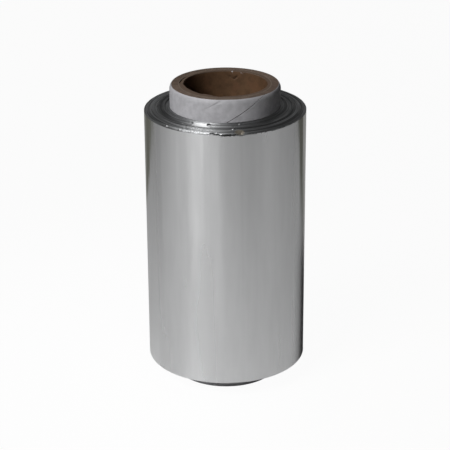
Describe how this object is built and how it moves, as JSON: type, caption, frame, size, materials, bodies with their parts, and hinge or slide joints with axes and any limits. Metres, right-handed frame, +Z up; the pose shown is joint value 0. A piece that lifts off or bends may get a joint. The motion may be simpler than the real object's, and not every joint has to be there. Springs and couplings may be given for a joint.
{
  "type": "aluminium foil roll",
  "caption": "Roll of plain aluminium foil wound on a spiral paper tube that sticks out of both end faces, standing on its end.",
  "frame": {"origin": "centre of the tube's lower end, on the surface that the roll stands on", "axes": "+Z up along the tube's axis; -Y faces the picture's viewer and +X is to the viewer's right"},
  "size_m": [0.073, 0.073, 0.14],
  "materials": {
    "foil": "satin rolled foil, nearly mirror bright with fine streaks along the roll",
    "board": "dull brown recycled board, matt",
    "cover_paper": "pale grey-white paper with a slight calendered sheen",
    "liner_paper": "brown recycled paper, matt"
  },
  "bodies": {
    "root": {"foil_winding": "foil", "core_tube": "board", "cover_ply": "cover_paper", "liner_ply": "liner_paper"}
  },
  "joints": []
}
